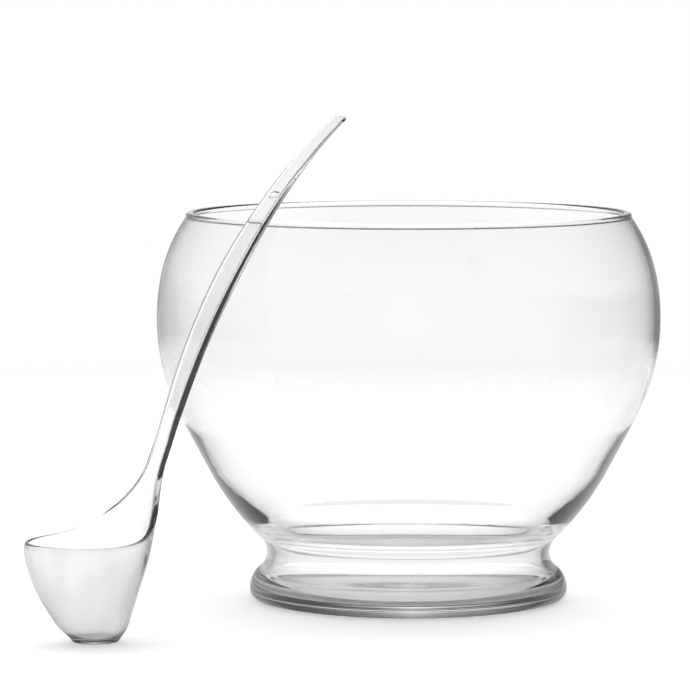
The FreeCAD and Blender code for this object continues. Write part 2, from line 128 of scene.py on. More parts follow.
class BowlSizes(bpy.types.PropertyGroup):
    """What the bowl has besides its two walls, and how finely it is divided."""

    bead_place: length("Bead place", "Radius of the ring that the rim's bead follows", 0.1262)
    bead_width: length("Bead width", "Width of the rim's bead", 0.0046)
    bead_height: length("Bead height", "Height of the rim's bead", 0.0033)
    bead_fullness: share("Bead fullness", "2 is a round bead, and more is squarer", 2.0)
    bead_crease: length("Bead crease", "Softness of the crease under the bead", 0.001)
    push_up_height: length("Push-up height", "Rise of the dome under the base", 0.0017)
    push_up_radius: length("Push-up radius", "Inner radius of the ring it stands on", 0.077)
    floor_rise: length("Floor rise", "Rise of the floor inside towards its middle", 0.0022)
    step_length: length("Step length", "Longest step along the outline", 0.0022)
    step_angle: angle("Step angle", "Longest step round an arc", 5.0)
    steps_round: IntProperty(
        name="Steps round", description="Divisions round the axis", default=256, min=16
    )


class LadleSizes(bpy.types.PropertyGroup):
    """Where the ladle stands and the sizes that shape its handle and edges."""

    out: length("Out", "Where its foot stands along X, from the bowl's axis", -0.1722)
    aside: length("Aside", "Where its foot stands along Y, from the bowl's axis", -0.1727)
    turn: angle("Turn", "Way the handle points from the foot", 39.3)
    edge_rounding: length("Edge rounding", "Rounding along the lip and the handle", 0.001)
    bend_start_reach: length("Bend start reach", "Front face where the bend begins", 0.0536)
    bend_start_height: length("Bend start height", "Height where the bend begins", 0.129)
    lean: angle("Lean", "Lean of the straight part of the handle", 21.5)
    bend_arc: length("Bend arc", "Arc of the handle's bend", 0.345)
    tip_corner: length("Tip corner", "Rounding of the tip's two corners", 0.0025)
    tip_rounding: length("Tip rounding", "Rounding over the tip's thickness", 0.0008)
    step_length: length("Step length", "Longest step of the mesh", 0.0013)


class GlassFinish(bpy.types.PropertyGroup):
    """How the glass and the ladle's plastic look."""

    glass_colour: tint("Glass colour", "Tint of the glass", (1.0, 1.0, 1.0))
    handle_colour: tint("Handle colour", "Tint of the handle's clear plastic", (1.0, 1.0, 1.0))
    # The cup's base colour, greyer than the handle's from the haze's start down, in uneven streaks.
    cup_colour: tint("Cup colour", "Tint of the cup's worn plastic", (0.83, 0.83, 0.83))
    cup_streaks: share("Cup streaks", "How unevenly the cup is worn", 0.8)
    cup_haze: share("Cup haze", "Roughness that wear gives the cup", 0.08)
    haze_start: length("Haze start", "Height where the cup's haze begins to clear", 0.095)
    haze_end: length("Haze end", "Height above which the handle is clear", 0.12)
    glass_ior: share("Glass IOR", "Refraction of the glass", 1.52)
    plastic_ior: share("Plastic IOR", "Refraction of the plastic", 1.49)


class StageLook(bpy.types.PropertyGroup):
    """The floor, the light round the set and the camera."""

    floor_colour: tint("Floor colour", "Colour of the floor", (0.98, 0.98, 0.98))
    floor_fade: length("Floor fade", "How far from the set the floor has faded to white", 1.6)
    surround: share("Surround", "Brightness of what the glass shows through itself", 1.0)
    fill: share("Fill", "Brightness of the light on the floor", 1.02)
    light_height: angle("Light height", "How high behind the set the soft light stands", 60.0)
    floor_glow: share("Floor glow", "How far the floor is lifted where it is seen", 0.27)
    floor_through: share("Floor through glass", "Share of that glow through the glass", 0.93)
    # Painted shade: the floor's colour where the glass mirrors it, darker than its own colour.
    mirrored_floor_shade: tint(
        "Mirrored floor", "Colour of the floor in the glass's gloss", (0.85, 0.85, 0.85)
    )
    camera_aside: length("Camera aside", "Camera's place along X, from the bowl's axis", -0.0367)
    camera_back: length("Camera back", "Camera's distance in front of the bowl", 2.6)
    camera_height: length("Camera height", "Camera's height above the floor", 0.3636)
    camera_pitch: angle("Camera pitch", "How far the camera looks down", 4.761)
    lens: share("Lens", "Focal length in millimetres", 235.4)
    glass_bounces: IntProperty(
        name="Glass bounces", description="How often light may pass glass", default=24, min=0
    )
    gloss_bounces: IntProperty(
        name="Gloss bounces", description="How often light may be mirrored", default=16, min=0
    )


# ---------------------------------------------------------------- the bowl's outline

HALVINGS = 40  # how often the search for the end of a wall halves its span
CREASE_STEPS = 5
BEAD_STEP = 2  # a step round the bead turns this many times as far as a wall's
WELD = 1e-6  # points closer than this, in metres, are one


def step(turn):
    """Give the unit step in the outline's plane at an angle."""
    return Vector((math.cos(turn), math.sin(turn)))


def heading(start, end):
    """Give the angle of the way from one point to another."""
    return math.atan2(end.y - start.y, end.x - start.x)


def wall_centres(size):
    """Find the centres of the six arcs of a wall, so that each arc meets the next."""
    level = size.base_height + size.corner_arc
    corner = Vector((size.foot_radius - size.corner_arc, level))
    foot = Vector((size.foot_radius - size.foot_arc, level))
    waist = Vector((size.waist_radius + size.waist_arc, level))
    reach = size.foot_arc + size.waist_arc
    waist.y += math.sqrt(reach**2 - (waist.x - foot.x) ** 2)

    belly = Vector((size.belly_radius - size.belly_arc, size.belly_height))
    outward = step(-size.cone_angle)
    beside_flare = belly + outward * (size.belly_arc - size.flare_arc)
    gap = waist - beside_flare
    reach = size.flare_arc + size.waist_arc
    along = step(math.pi / 2 - size.cone_angle)
    rise = gap.dot(along) + math.sqrt(reach**2 - gap.dot(outward) ** 2)
    flare = beside_flare + along * rise

    rim = Vector((size.rim_radius, size.rim_height))
    span = (rim - belly).length
    reach = size.belly_arc - size.shoulder_arc
    turn = math.acos((span**2 + reach**2 - size.shoulder_arc**2) / (2 * span * reach))
    shoulder = belly + step(heading(belly, rim) - turn) * reach
    return corner, foot, waist, flare, belly, shoulder


def arc_points(centre, radius, first, last, bowl):
    """Give the points of an arc from one angle to another, close enough together."""
    by_length = abs(last - first) * radius / bowl.step_length
    by_angle = abs(last - first) / bowl.step_angle
    count = max(2, math.ceil(max(by_length, by_angle)))
    return [centre + step(first + (last - first) * i / count) * radius for i in range(count + 1)]


def bead_point(turn, bowl, level):
    """Give the point of the bead's section at an angle, counted from its outer side."""
    across = math.cos(turn)
    up = math.sin(turn)
    power = 2 / bowl.bead_fullness
    x = bowl.bead_place + math.copysign(abs(across) ** power, across) * bowl.bead_width / 2
    y = level + math.copysign(abs(up) ** power, up) * bowl.bead_height / 2
    return Vector((x, y))


def bead_share(point, bowl, level):
    """Give a point's place across and up the bead's section, where 1 is on its outline."""
    power = bowl.bead_fullness / 2
    across = (point.x - bowl.bead_place) / (bowl.bead_width / 2)
    up = (point.y - level) / (bowl.bead_height / 2)
    return Vector(
        (math.copysign(abs(across) ** power, across), math.copysign(abs(up) ** power, up))
    )


def wall_end(size, shoulder, low, high, bowl):
    """Find the angle on the shoulder's arc where the wall goes into the bead."""
    for _ in range(HALVINGS):
        middle = (low + high) / 2
        point = shoulder + step(middle) * size.shoulder_arc
        if bead_share(point, bowl, size.rim_height).length > 1.0:
            low = middle
        else:
            high = middle
    return low


def wall_points(size, bowl):
    """Give the points of one wall up to just below the bead, and where it would meet it."""
    corner, foot, waist, flare, belly, shoulder = wall_centres(size)
    to_waist = heading(foot, waist)
    to_flare = heading(waist, flare)
    to_shoulder = heading(belly, shoulder)
    to_rim = math.asin((size.rim_height - shoulder.y) / size.shoulder_arc)
    end = wall_end(size, shoulder, to_shoulder, to_rim, bowl)
    meeting = shoulder + step(end) * size.shoulder_arc
    end -= bowl.bead_crease / size.shoulder_arc
    cone = -size.cone_angle
    points = (
        arc_points(corner, size.corner_arc, -math.pi / 2, 0.0, bowl)
        + arc_points(foot, size.foot_arc, 0.0, to_waist, bowl)
        + arc_points(waist, size.waist_arc, to_waist + math.pi, to_flare, bowl)
        + arc_points(flare, size.flare_arc, to_flare - math.pi, cone, bowl)
        + arc_points(belly, size.belly_arc, cone, to_shoulder, bowl)
        + arc_points(shoulder, size.shoulder_arc, to_shoulder, end, bowl)
    )
    return points, meeting


def soft_corner(start, corner, end):
    """Give the points of a curve from start to end that a corner draws towards itself."""
    shares = [i / CREASE_STEPS for i in range(1, CREASE_STEPS)]
    return [start.lerp(corner, t).lerp(corner.lerp(end, t), t) for t in shares]


def bead_points(outer_meeting, inner_meeting, bowl, level):
    """Give the points of the bead from the outer wall over the top to the inner wall."""
    outer = bead_share(outer_meeting, bowl, level)
    inner = bead_share(inner_meeting, bowl, level)
    crease = 2 * bowl.bead_crease / bowl.bead_width
    first = math.atan2(outer.y, outer.x) + crease
    last = math.atan2(inner.y, inner.x) + 2 * math.pi - crease
    count = math.ceil((last - first) / bowl.step_angle / BEAD_STEP)
    return [bead_point(first + (last - first) * i / count, bowl, level) for i in range(count + 1)]


def floor_points(start, bowl):
    """Give the points of the floor inside, which rises softly towards its middle."""
    count = math.ceil(start.x / bowl.step_length)
    shares = [1 - i / count for i in range(count + 1)]
    return [Vector((start.x * t, start.y + bowl.floor_rise * (1 - t * t) ** 2)) for t in shares]


def bowl_outline(outside, inside, bowl):
    """Give the closed half section of the bowl, from the middle of its underside to its floor."""
    dome = (bowl.push_up_radius**2 + bowl.push_up_height**2) / (2 * bowl.push_up_height)
    dome_centre = Vector((0.0, bowl.push_up_height - dome))
    dome_edge = Vector((bowl.push_up_radius, 0.0))
    under = arc_points(dome_centre, dome, math.pi / 2, heading(dome_centre, dome_edge), bowl)
    outer, outer_meeting = wall_points(outside, bowl)
    inner, inner_meeting = wall_points(inside, bowl)
    bead = bead_points(outer_meeting, inner_meeting, bowl, outside.rim_height)
    outer_crease = soft_corner(outer[-1], outer_meeting, bead[0])
    inner_crease = soft_corner(bead[-1], inner_meeting, inner[-1])
    floor = floor_points(inner[0], bowl)
    points = under + outer + outer_crease + bead + inner_crease + inner[::-1] + floor
    kept = [points[0]]
    for point in points[1:]:
        if (point - kept[-1]).length > WELD:
            kept.append(point)
    return kept


# ---------------------------------------------------------------- geometry nodes


def add_node(tree, kind, **values):
    """Add a node and set its properties."""
    node = tree.nodes.new(kind)
    for name, value in values.items():
        setattr(node, name, value)
    return node


def feed(tree, socket, value):
    """Link an output to an input, or set the input to a number."""
    if isinstance(value, bpy.types.NodeSocket):
        tree.links.new(value, socket)
    else:
        socket.default_value = value


def maths(tree, operation, first, second=0.0):
    """Add a Math node on numbers or sockets and give its output."""
    node = add_node(tree, "ShaderNodeMath", operation=operation)
    feed(tree, node.inputs[0], first)
    feed(tree, node.inputs[1], second)
    return node.outputs[0]


def turned_tree():
    """Build the tree that turns an outline round the Z axis into a closed wall."""
    tree = bpy.data.node_groups.new("TurnedWall", "GeometryNodeTree")
    face = tree.interface
    face.new_socket("Outline", in_out="INPUT", socket_type="NodeSocketGeometry")
    face.new_socket("Points", in_out="INPUT", socket_type="NodeSocketInt")
    face.new_socket("Steps Round", in_out="INPUT", socket_type="NodeSocketInt")
    face.new_socket("Material", in_out="INPUT", socket_type="NodeSocketMaterial")
    face.new_socket("Wall", in_out="OUTPUT", socket_type="NodeSocketGeometry")
    given = tree.nodes.new("NodeGroupInput").outputs
    result = tree.nodes.new("NodeGroupOutput").inputs

    round_points = maths(tree, "ADD", given["Steps Round"], 1)
    grid = tree.nodes.new("GeometryNodeMeshGrid")
    tree.links.new(given["Points"], grid.inputs["Vertices X"])
    tree.links.new(round_points, grid.inputs["Vertices Y"])

    index = tree.nodes.new("GeometryNodeInputIndex").outputs[0]
    row = maths(tree, "FLOOR", maths(tree, "DIVIDE", index, round_points))
    column = maths(tree, "MODULO", index, round_points)
    turn = maths(tree, "DIVIDE", maths(tree, "MULTIPLY", column, math.tau), given["Steps Round"])

    sample = add_node(tree, "GeometryNodeSampleIndex", data_type="FLOAT_VECTOR", domain="POINT")
    place = tree.nodes.new("GeometryNodeInputPosition").outputs[0]
    tree.links.new(given["Outline"], sample.inputs["Geometry"])
    tree.links.new(place, sample.inputs["Value"])
    tree.links.new(row, sample.inputs["Index"])

    rotate = add_node(tree, "ShaderNodeVectorRotate", rotation_type="Z_AXIS")
    tree.links.new(sample.outputs[0], rotate.inputs["Vector"])
    tree.links.new(turn, rotate.inputs["Angle"])
    move = tree.nodes.new("GeometryNodeSetPosition")
    tree.links.new(grid.outputs["Mesh"], move.inputs["Geometry"])
    tree.links.new(rotate.outputs[0], move.inputs["Position"])

    weld = tree.nodes.new("GeometryNodeMergeByDistance")
    weld.inputs["Distance"].default_value = WELD
    smooth = tree.nodes.new("GeometryNodeSetShadeSmooth")
    real = tree.nodes.new("GeometryNodeRealizeInstances")
    paint = tree.nodes.new("GeometryNodeSetMaterial")
    tree.links.new(move.outputs[0], weld.inputs[0])
    tree.links.new(weld.outputs[0], smooth.inputs[0])
    tree.links.new(smooth.outputs[0], real.inputs[0])
    tree.links.new(real.outputs[0], paint.inputs["Geometry"])
    tree.links.new(given["Material"], paint.inputs["Material"])
    tree.links.new(paint.outputs[0], result["Wall"])
    return tree


def set_input(modifier, name, value):
    """Set a Geometry Nodes modifier's input by the identifier of the socket with that name."""
    for item in modifier.node_group.interface.items_tree:
        if item.item_type == "SOCKET" and item.in_out == "INPUT" and item.name == name:
            modifier[item.identifier] = value
            return
    raise KeyError(name)


def turn_outline(name, points, steps_round, material):
    """Turn an outline into a closed solid of revolution and give it as a plain mesh object."""
    mesh = bpy.data.meshes.new(name)
    edges = [(i, i + 1) for i in range(len(points) - 1)]
    mesh.from_pydata([(point.x, 0.0, point.y) for point in points], edges, [])
    piece = bpy.data.objects.new(name, mesh)
    bpy.context.scene.collection.objects.link(piece)
    modifier = piece.modifiers.new("Turn", "NODES")
    modifier.node_group = turned_tree()
    set_input(modifier, "Points", len(points))
    set_input(modifier, "Steps Round", steps_round)
    set_input(modifier, "Material", material)
    graph = bpy.context.evaluated_depsgraph_get()
    made = bpy.data.meshes.new_from_object(piece.evaluated_get(graph), depsgraph=graph)
    piece.modifiers.clear()
    piece.data = made
    made.name = name
    made.polygons.foreach_set("material_index", [0] * len(made.polygons))
    made.materials.clear()
    made.materials.append(material)
    point_outwards(made)
    return piece


def point_outwards(mesh):
    """Turn every face of a closed mesh outwards."""
    work = bmesh.new()
    work.from_mesh(mesh)
    bmesh.ops.recalc_face_normals(work, faces=work.faces)
    work.to_mesh(mesh)
    work.free()
    mesh.update()


# ---------------------------------------------------------------- the ladle's mesh

# The cup is round at every level, and its wall rises behind into the back of the handle.
# Level, outer radius, how far back the outside is, wall thickness at the back and at the front,
# in millimetres.
CUP_LEVELS = (
    (0.0, 12.4, 12.4, 3.0, 3.0),
    (3.2, 14.9, 14.8, 2.8, 2.8),
    (7.0, 18.1, 16.9, 2.4, 2.4),
    (13.0, 21.4, 18.7, 2.2, 2.3),
    (20.0, 24.6, 20.6, 2.1, 2.2),
    (28.0, 28.0, 22.9, 2.0, 2.1),
    (44.0, 33.2, 27.8, 2.0, 2.0),
    (52.0, 34.6, 29.9, 2.2, 1.9),
    (60.0, 34.0, 31.9, 2.9, 1.8),
    (76.0, 29.8, 37.2, 4.3, 1.8),
    (92.0, 25.7, 43.5, 4.4, 1.8),
    (116.0, 21.0, 52.9, 3.4, 1.8),
)
CUP_FLOOR = 3.2

# Where the lip's rounding begins: the angle round the cup from the handle, in degrees, and the
# height in millimetres. The first row is the neck, where the handle goes on upwards.
LIP_LINE = (
    (13.0, 94.0),
    (14.6, 88.0),
    (20.6, 80.2),
    (28.2, 73.5),
    (39.3, 66.9),
    (54.3, 60.6),
    (71.2, 56.7),
    (90.0, 54.9),
    (112.0, 54.3),
    (146.0, 54.3),
    (180.0, 54.3),
)

# Width and thickness of the handle in millimetres, by the angle turned on its bend in degrees.
HANDLE_WIDTHS = (
    (-6.0, 12.6, 4.4),
    (-3.0, 12.2, 4.5),
    (0.0, 13.2, 4.8),
    (4.0, 15.0, 4.9),
    (9.0, 16.6, 5.1),
    (14.0, 17.4, 4.9),
    (19.0, 15.4, 4.2),
    (24.0, 13.6, 3.2),
    (28.0, 13.0, 2.1),
    (32.5, 11.4, 1.8),
)
MILLIMETRE = 0.001

# How the mesh is divided.
LIP_SAMPLES = 3000
LIP_DEGREE = 0.5  # millimetres that a degree counts for when the lip's rows are spaced
BOTTOM_RINGS = (0.1, 0.25, 0.4, 0.55, 0.7, 0.85)
ROUNDING_STEPS = 4
TIP_STEPS = 8
NECK_EASE = 6  # rows over which the lip's way out turns sideways at the neck

# Roundings in millimetres, and as shares of a thickness.
UNDERSIDE_ROUNDING = 0.8
FLOOR_ROUNDING = 1.2
MOST_ROUNDING = 0.45
TIP_THINNING = 0.95

# Angle from the handle up to which the inside lies straight across from the outside, and the
# angle from which it lies on the same line out from the middle.
STRAIGHT_ACROSS = math.radians(25)
ROUND_ABOUT = math.radians(70)

# Spans of height above the neck over which the cup's back turns into the handle, in millimetres.
FLATTENING = (0.0, 18.0)  # the round back and the width become the flat bar's
TROUGH_END = (14.0, 20.0)  # the last of the cup's hollow leaves the front
TILTING = (20.0, 38.0)  # the thickness turns square to the front
SETTLING = (24.0, 50.0)  # the front comes back to its line
FRONT_LIFT = 0.2  # how far the front is moved at the neck
TROUGH_BLEND = 0.15  # how softly the hollow meets the front


def smooth_curve(table):
    """Fit a smooth curve through a table's rows, by their first value, and give a function."""
    knots = np.array([row[0] for row in table])
    values = np.array([row[1:] for row in table])
    width = np.diff(knots)
    slope = np.diff(values, axis=0) / width[:, None]
    last = len(knots) - 1
    matrix = np.eye(last + 1)
    bends = np.zeros_like(values)
    for i in range(1, last):
        matrix[i, i - 1 : i + 2] = width[i - 1] / 6, (width[i - 1] + width[i]) / 3, width[i] / 6
        bends[i] = slope[i] - slope[i - 1]
    bends = np.linalg.solve(matrix, bends)

    def curve(at):
        at = np.clip(at, knots[0], knots[-1])
        i = np.clip(np.searchsorted(knots, at, side="right") - 1, 0, last - 1)
        above = ((at - knots[i]) / width[i])[..., None]
        below = 1 - above
        square = (width[i] ** 2)[..., None] / 6
        straight = below * values[i] + above * values[i + 1]
        bent = (below**3 - below) * bends[i] + (above**3 - above) * bends[i + 1]
        return straight + square * bent

    return curve


def smooth_step(low, high, value):
    """Give 0 below low, 1 above high and a smooth rise between them."""
    t = np.clip((value - low) / (high - low), 0.0, 1.0)
    return t * t * (3 - 2 * t)


cup_curve = smooth_curve(CUP_LEVELS)
handle_curve = smooth_curve(HANDLE_WIDTHS)


def cup_circle(level, inner):
    """Give the radius and the centre of the cup's outside or inside at a level, in millimetres."""
    radius, back, behind, before = np.moveaxis(cup_curve(np.asarray(level, float)), -1, 0)
    if inner:
        radius = radius - (behind + before) / 2
        back = back - behind
    return radius, back - radius


def on_circle(turn, level, inner):
    """Give points on the cup's outside or inside, by the angle from the handle and the level."""
    radius, centre = cup_circle(level, inner)
    return np.stack([centre + radius * np.cos(turn), radius * np.sin(turn), level + 0 * turn], -1)


def lip_columns(spacing):
    """Give angle and height at even steps along half the lip, from the neck to the front."""
    rows = [np.array(row) for row in LIP_LINE]
    run = [0.0]
    for first, second in zip(rows, rows[1:]):
        run.append(run[-1] + np.hypot((second[0] - first[0]) * LIP_DEGREE, second[1] - first[1]))
    curve = smooth_curve([(place, *row) for place, row in zip(run, rows)])
    fine = curve(np.linspace(0, run[-1], LIP_SAMPLES))
    turn, level = np.radians(fine[:, 0]), fine[:, 1]
    middle = on_circle(turn, level, False)
    steps = np.linalg.norm(np.diff(middle, axis=0), axis=1)
    travel = np.concatenate([[0], np.cumsum(steps)])
    even = np.linspace(0, travel[-1], math.ceil(travel[-1] / spacing) + 1)
    return np.interp(even, travel, turn), np.interp(even, travel, level)


def inner_turn(turn, level):
    """Give the inside's angle beside an angle of the outside, straight across it near the neck."""
    outer_radius, _ = cup_circle(level, False)
    inner_radius, _ = cup_circle(level, True)
    beside = np.arcsin(np.clip(np.sin(turn) * outer_radius / inner_radius, -1.0, 1.0))
    return turn + (beside - turn) * (1 - smooth_step(STRAIGHT_ACROSS, ROUND_ABOUT, turn))


def cup_columns(spacing):
    """Give each mesh column's outer angle, inner angle and height, and how many cross the neck."""
    turn, level = lip_columns(spacing)
    inside = inner_turn(turn, level)
    neck_level = level[0]
    outer_radius, _ = cup_circle(neck_level, False)
    inner_radius, _ = cup_circle(neck_level, True)
    half = outer_radius * math.sin(turn[0])
    across = 2 * round(half / spacing) + 2
    side = np.linspace(-half, half, across + 1)
    outer = [np.arcsin(side / outer_radius), turn[1:], math.tau - turn[-2:0:-1]]
    inner = [np.arcsin(side / inner_radius), inside[1:], math.tau - inside[-2:0:-1]]
    heights = [0 * side + neck_level, level[1:], level[-2:0:-1]]
    return np.concatenate(outer), np.concatenate(inner), np.concatenate(heights), across


def wall_rows(turn, height, inner, spacing):
    """Give the rows of the cup's outside or inside, from near its bottom's middle to the lip."""
    floor = CUP_FLOOR if inner else 0.0
    rounding = FLOOR_ROUNDING if inner else UNDERSIDE_ROUNDING
    radius, centre = cup_circle(floor, inner)
    flat = floor + 0 * turn
    rows = []
    for part in BOTTOM_RINGS:
        reach = (radius - rounding) * part
        rows.append(np.stack([centre + reach * np.cos(turn), reach * np.sin(turn), flat], -1))
    corner = on_circle(turn, flat, inner)
    start = corner - np.stack([np.cos(turn), np.sin(turn), 0 * turn], -1) * rounding
    end = on_circle(turn, floor + rounding + 0 * turn, inner)
    for t in np.linspace(0, 1, ROUNDING_STEPS + 1):
        rows.append((1 - t) ** 2 * start + 2 * t * (1 - t) * corner + t * t * end)
    above = floor + rounding
    count = math.ceil((height.min() - above) / spacing)
    for step_up in range(1, count + 1):
        level = above + (height - above) * step_up / count
        rows.append(on_circle(turn, level, inner))
    return rows


def rounded_edge(front, back, outward, corner):
    """Give the rows of points round an edge, from a face's points to the other face's points."""
    across = back - front
    thick = np.linalg.norm(across, axis=-1, keepdims=True)
    across = across / thick
    corner = np.minimum(corner, MOST_ROUNDING * thick)
    turns = np.linspace(0, math.pi / 2, ROUNDING_STEPS + 1)
    steps = [((1 - math.cos(t)) * across, math.sin(t) * outward) for t in turns]
    rows = [front + corner * (inward + up) for inward, up in steps]
    rows.append((front + back) / 2 + corner * outward)
    rows += [back + corner * (up - inward) for inward, up in steps[::-1]]
    return np.array(rows)


def lip_outward(front, back):
    """Give the direction out of the wall all along the lip, which leaves the neck sideways."""
    middle = (front + back) / 2
    outward = np.cross(back - front, np.gradient(middle, axis=0))
    outward /= np.linalg.norm(outward, axis=-1, keepdims=True)
    if outward[len(outward) // 2, 2] < 0:
        outward = -outward
    for end, side in ((slice(0, NECK_EASE), 1.0), (slice(-1, -NECK_EASE - 1, -1), -1.0)):
        share_left = np.linspace(1, 0, NECK_EASE, endpoint=False)[:, None]
        outward[end] = outward[end] * (1 - share_left) + np.array([0, side, 0]) * share_left
    return outward / np.linalg.norm(outward, axis=-1, keepdims=True)


def handle_runs(size, spacing):
    """Give the distances along the handle's front at which the mesh has a ring."""
    straight = (size.bend_start_height / MILLIMETRE - LIP_LINE[0][1]) / math.cos(size.lean)
    bend = size.bend_arc / MILLIMETRE * math.radians(HANDLE_WIDTHS[-1][0])
    end = straight + bend
    tip = size.tip_corner / MILLIMETRE
    edge = size.tip_rounding / MILLIMETRE
    runs = list(np.linspace(0, end - tip, math.ceil((end - tip) / spacing) + 1)[1:])
    quarter = [math.sin(math.pi / 2 * i / TIP_STEPS) for i in range(1, TIP_STEPS + 1)]
    runs += [end - tip + tip * rise for rise in quarter if tip * (1 - rise) > edge]
    runs += [end - edge + edge * rise for rise in [0.0] + quarter]
    return runs, straight, end


def rounding_in(run, end, radius):
    """Give how far an outline has come in at a distance, when it ends in a quarter circle."""
    past = max(0.0, min(radius, run - (end - radius)))
    return radius - math.sqrt(radius**2 - past**2)


def above_neck(span, level):
    """Give how far a change of the neck has come at a level, from 0 to 1."""
    neck = LIP_LINE[0][1]
    return smooth_step(neck + span[0], neck + span[1], level)


def handle_place(past_straight, size):
    """Give the lean, reach and level of the handle's front at a distance past its straight part."""
    arc = size.bend_arc / MILLIMETRE
    lean = size.lean + max(0.0, past_straight / arc)
    below = min(0.0, past_straight)
    reach = size.bend_start_reach / MILLIMETRE + below * math.sin(size.lean)
    level = size.bend_start_height / MILLIMETRE + below * math.cos(size.lean)
    reach += arc * (math.cos(size.lean) - math.cos(lean))
    level += arc * (math.sin(lean) - math.sin(size.lean))
    return lean, reach, level


def handle_front(side, plane, level):
    """Give the front across the width: the cup's hollow at the neck, and a plane above it."""
    radius, centre = cup_circle(level, True)
    trough = centre + np.sqrt(radius**2 - side**2)
    blend = np.maximum(0.0, TROUGH_BLEND - abs(trough - plane)) ** 2 / (4 * TROUGH_BLEND)
    nearer = np.minimum(trough, plane) - blend
    reach = nearer + (plane - nearer) * above_neck(TROUGH_END, level)
    return np.stack([reach, side, level + 0 * side], -1)


def handle_ring(run, straight, end, across, size):
    """Give the ring of points round the handle at a distance along its front."""
    corner = size.edge_rounding / MILLIMETRE
    lean, reach, level = handle_place(run - straight, size)
    turned = (run - straight) / (size.bend_arc / MILLIMETRE)
    width, depth = handle_curve(np.asarray(math.degrees(turned)))
    flat = above_neck(FLATTENING, level)
    neck_turn, neck = LIP_LINE[0]
    neck_half = cup_circle(neck, False)[0] * math.sin(math.radians(neck_turn))
    half = neck_half * (1 - flat) + (width / 2 - corner) * flat
    half -= rounding_in(run, end, size.tip_corner / MILLIMETRE)
    side = np.linspace(-half, half, across + 1)

    plane = reach + (FRONT_LIFT - 2 * FRONT_LIFT * flat + FRONT_LIFT * above_neck(SETTLING, level))
    front = handle_front(side, plane, level)
    behind = front.copy()
    radius, centre = cup_circle(level, False)
    behind[:, 0] = centre + np.sqrt(radius**2 - side**2)
    tilt = lean * above_neck(TILTING, level)
    backwards = np.array([math.cos(tilt), 0.0, -math.sin(tilt)])
    through = depth / math.cos(lean - tilt)
    straight_back = np.stack([plane + 0 * side, side, level + 0 * side], -1) + backwards * through
    back = behind * (1 - flat) + straight_back * flat

    thinner = rounding_in(run, end, size.tip_rounding / MILLIMETRE * TIP_THINNING)
    front = front + backwards * thinner
    back = back - backwards * thinner
    right = rounded_edge(front[-1], back[-1], np.array([0.0, 1.0, 0.0]), corner)
    left = rounded_edge(front[0], back[0], np.array([0.0, -1.0, 0.0]), corner)
    return np.concatenate([front, right[1:-1], back[::-1], left[-2:0:-1]])


class MeshPlan:
    """Points and faces of a mesh while it is put together."""

    def __init__(self):
        self.points = []
        self.faces = []

    def row(self, points):
        """Add a row of points and give their numbers."""
        first = len(self.points)
        self.points.extend(tuple(point) for point in points)
        return list(range(first, len(self.points)))

    def join(self, first, second, closed=False):
        """Join two rows of as many points with a strip of faces."""
        count = len(first) if closed else len(first) - 1
        for i in range(count):
            j = (i + 1) % len(first)
            self.faces.append((first[i], first[j], second[j], second[i]))

    def fan(self, centre, ring):
        """Close a ring with triangles to a centre."""
        for i, point in enumerate(ring):
            self.faces.append((centre, point, ring[(i + 1) % len(ring)]))


def cup_wall(plan, turn, height, inner, spacing):
    """Add the cup's outside or inside, and give the numbers and the points of its top row."""
    rows = wall_rows(turn, height, inner, spacing)
    numbers = [plan.row(row) for row in rows]
    floor = CUP_FLOOR if inner else 0.0
    _, centre = cup_circle(floor, inner)
    middle = plan.row([(centre, 0.0, floor)])[0]
    plan.fan(middle, numbers[0])
    for lower, upper in zip(numbers, numbers[1:]):
        plan.join(lower, upper, closed=True)
    return numbers[-1], rows[-1]


def close_tip(plan, ring, across, sides):
    """Close the handle's last ring with a strip from front to back and a face at each side."""
    front = ring[: across + 1]
    back = ring[across + 1 + sides : 2 * across + 2 + sides][::-1]
    plan.join(front, back)
    plan.faces.append([front[-1]] + ring[across + 1 : across + 1 + sides] + [back[-1]])
    plan.faces.append([back[0]] + ring[2 * across + 2 + sides :] + [front[0]])


def ladle_plan(size):
    """Put the ladle's points and faces together in its own frame, in millimetres."""
    spacing = size.step_length / MILLIMETRE
    corner = size.edge_rounding / MILLIMETRE
    outer_turn, inside_turn, height, across = cup_columns(spacing)
    plan = MeshPlan()
    outer_numbers, outer_row = cup_wall(plan, outer_turn, height, False, spacing)
    inner_numbers, inner_row = cup_wall(plan, inside_turn, height, True, spacing)

    lip = list(range(across, len(height))) + [0]
    outward = lip_outward(inner_row[lip], outer_row[lip])
    edge = rounded_edge(inner_row[lip], outer_row[lip], outward, corner)
    edge_numbers = [[inner_numbers[i] for i in lip]]
    edge_numbers += [plan.row(row) for row in edge[1:-1]]
    edge_numbers.append([outer_numbers[i] for i in lip])
    for lower, upper in zip(edge_numbers, edge_numbers[1:]):
        plan.join(lower, upper)

    ring = inner_numbers[: across + 1] + [row[0] for row in edge_numbers[1:-1]]
    ring += outer_numbers[across::-1] + [row[-1] for row in edge_numbers[-2:0:-1]]
    runs, straight, end = handle_runs(size, spacing)
    for run in runs:
        upper = plan.row(handle_ring(run, straight, end, across, size))
        plan.join(ring, upper, closed=True)
        ring = upper
    close_tip(plan, ring, across, len(edge) - 2)
    return plan


def make_ladle(size, material):
    """Make the ladle's mesh object, standing where it leans on the rim."""
    plan = ladle_plan(size)
    points = np.array(plan.points) * MILLIMETRE
    cosine, sine = math.cos(size.turn), math.sin(size.turn)
    placed = points.copy()
    placed[:, 0] = size.out + points[:, 0] * cosine - points[:, 1] * sine
    placed[:, 1] = size.aside + points[:, 0] * sine + points[:, 1] * cosine
    mesh = bpy.data.meshes.new("ladle_plastic_shell")
    mesh.from_pydata([tuple(point) for point in placed], [], plan.faces)
    mesh.materials.append(material)
    point_outwards(mesh)
    mesh.shade_smooth()
    piece = bpy.data.objects.new("ladle_shell", mesh)
    bpy.context.scene.collection.objects.link(piece)
    return piece


# ---------------------------------------------------------------- finishes

